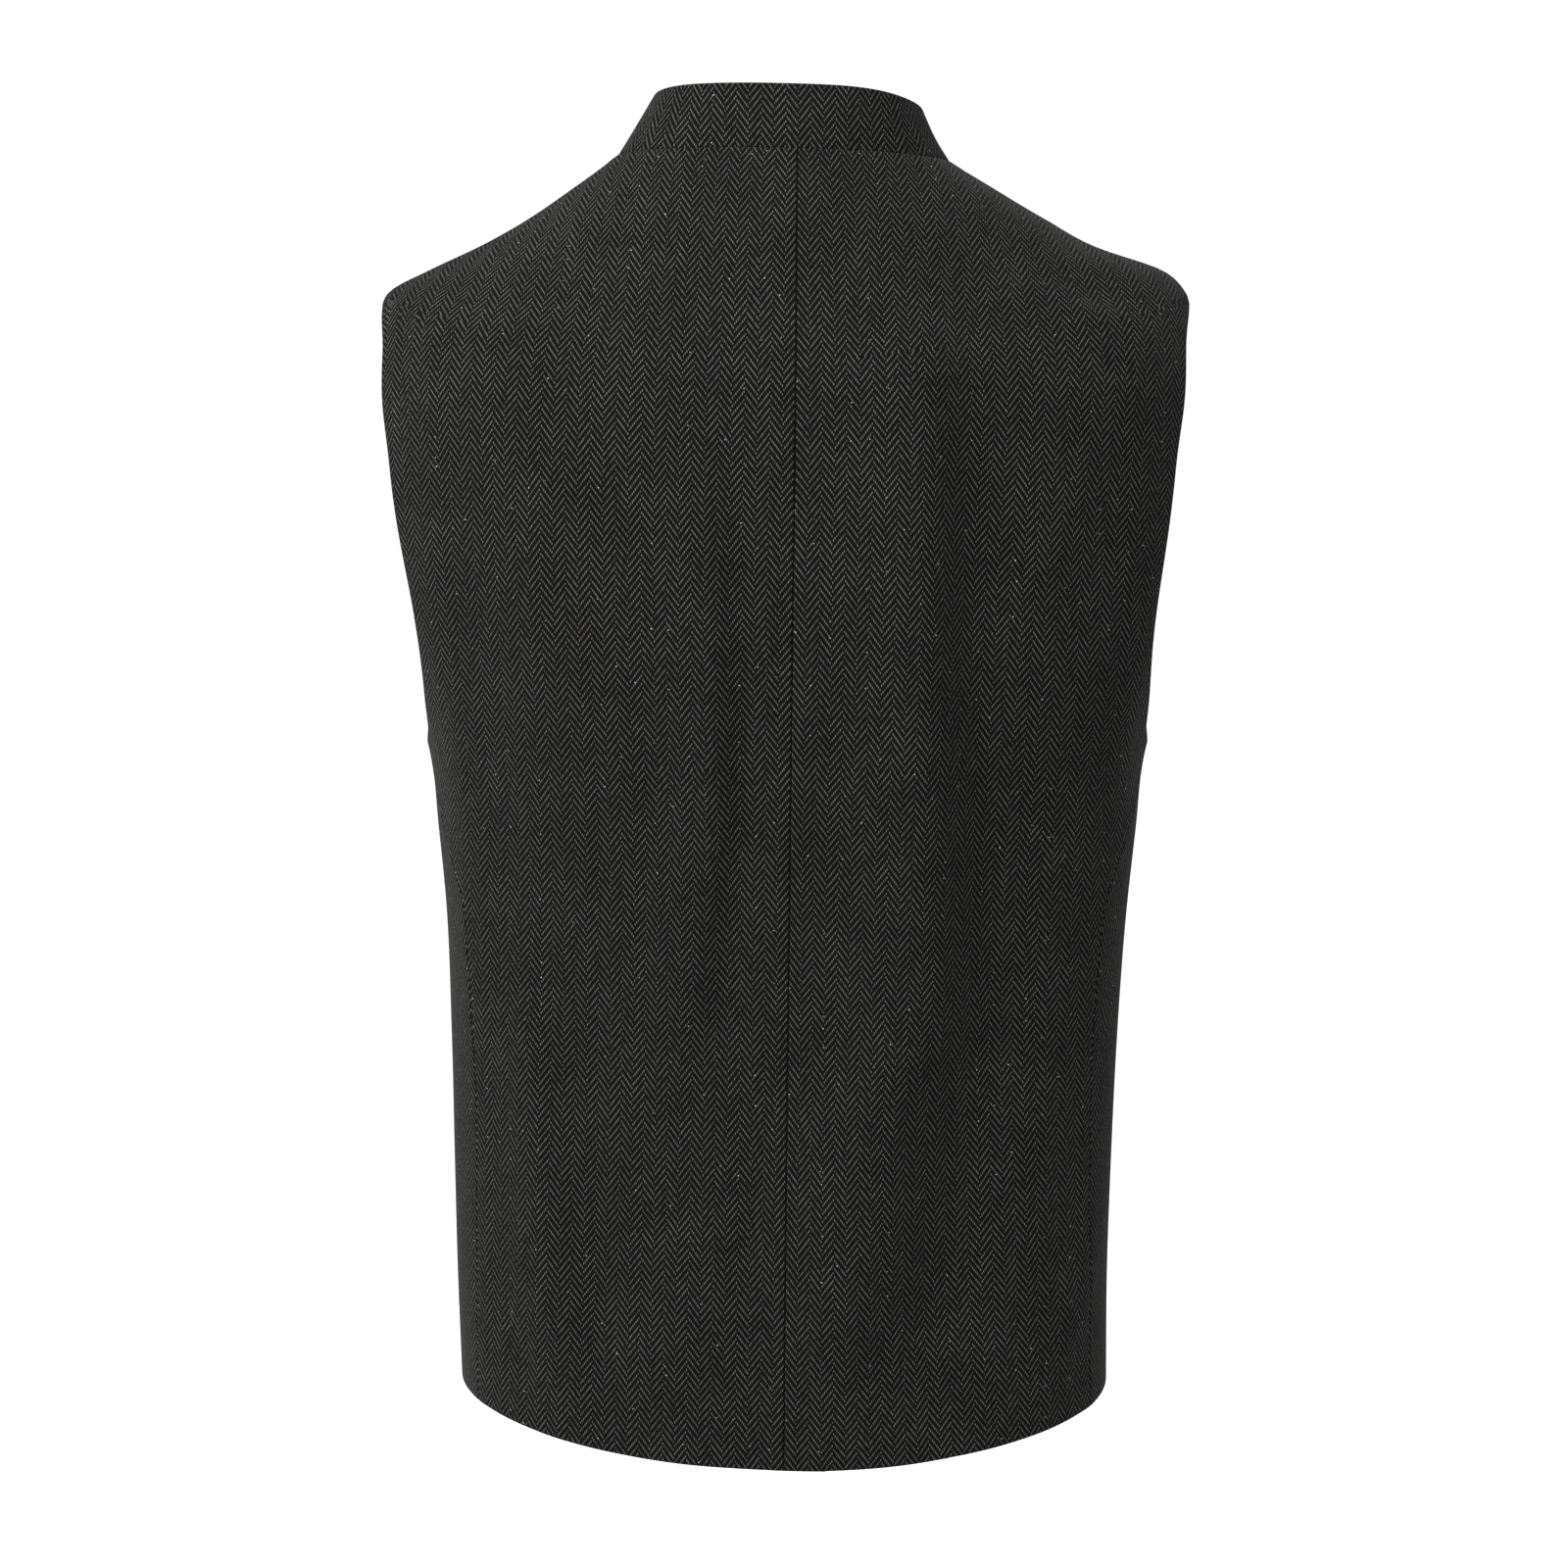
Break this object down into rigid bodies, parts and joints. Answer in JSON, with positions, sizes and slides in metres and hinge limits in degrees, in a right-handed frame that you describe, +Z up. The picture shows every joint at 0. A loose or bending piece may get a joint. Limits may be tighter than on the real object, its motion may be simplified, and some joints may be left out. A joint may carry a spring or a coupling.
{
  "type": "stand-collar suit waistcoat",
  "caption": "Hollow sleeveless tweed waistcoat with a stand collar, a centre-back seam and a buttoned front, in the rounded shape it keeps when worn.",
  "frame": {"origin": "midway between the two points where the collar meets the shoulders", "axes": "+Z up, the front faces -Y, +X towards the wearer's left"},
  "size_m": [0.4254, 0.2415, 0.7217],
  "materials": {
    "tweed": "charcoal herringbone wool tweed, matt with a short nap",
    "horn": "dark mottled horn, softly polished"
  },
  "bodies": {
    "root": {"back_left": "tweed", "back_right": "tweed", "front_left": "tweed", "front_right": "tweed", "collar": "tweed", "button_1": "horn", "button_2": "horn", "button_3": "horn", "button_4": "horn", "button_5": "horn", "button_6": "horn"}
  },
  "joints": []
}
